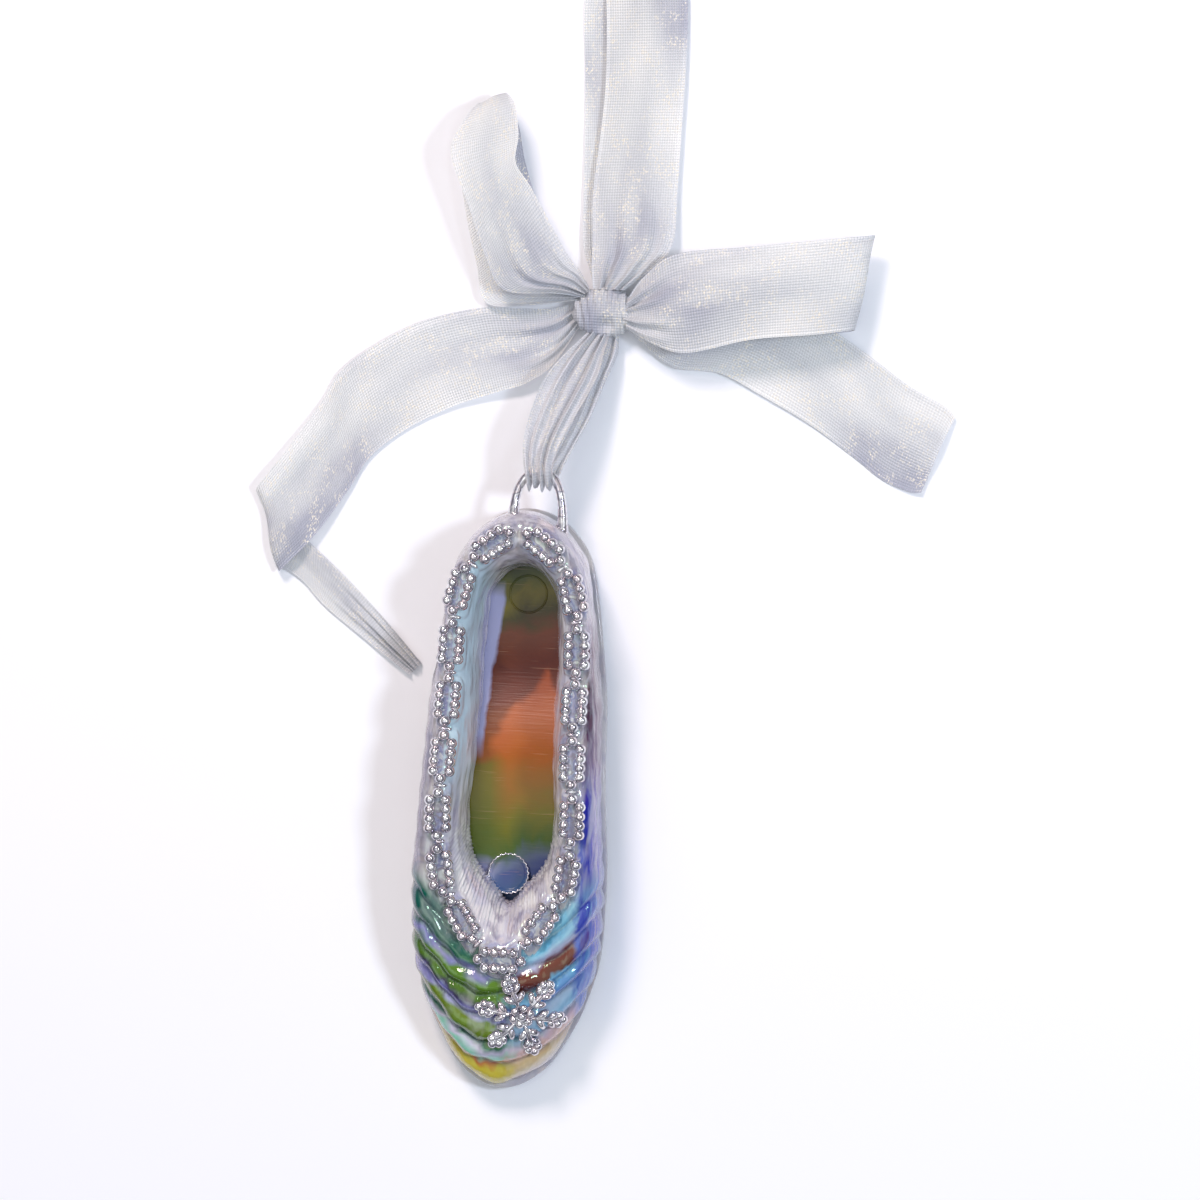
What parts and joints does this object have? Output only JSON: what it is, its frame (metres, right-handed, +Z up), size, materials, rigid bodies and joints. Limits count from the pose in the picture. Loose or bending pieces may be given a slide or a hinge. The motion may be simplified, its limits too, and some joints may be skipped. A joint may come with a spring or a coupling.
{
  "type": "ballet slipper ornament",
  "caption": "Clear moulded ballet slipper ornament, hollow, with a beaded collar, draped vamp, snowflake and heel ring, hung by an organza ribbon tied in a bow.",
  "frame": {"origin": "on the floor under the middle of the box round slipper and heel ring, without the ribbon", "axes": "+Y from the toe to the heel, +Z up from the sole, +X to the side that the ring and snowflake are offset to"},
  "size_m": [0.1203, 0.1971, 0.019],
  "materials": {
    "clear_plastic": "clear injection-moulded polystyrene with an iridescent vacuum coating, glossy",
    "organza": "white sheer organza ribbon with a fine open plain weave and a faint sparkle"
  },
  "bodies": {
    "root": {"upper": "clear_plastic", "sole": "clear_plastic", "ribbon_leg_front": "organza", "ribbon_leg_back": "organza", "ribbon_knot": "organza", "ribbon_loop_left": "organza", "ribbon_loop_right": "organza", "ribbon_tail_left": "organza", "ribbon_tail_right": "organza", "ribbon_hanger": "organza"}
  },
  "joints": []
}
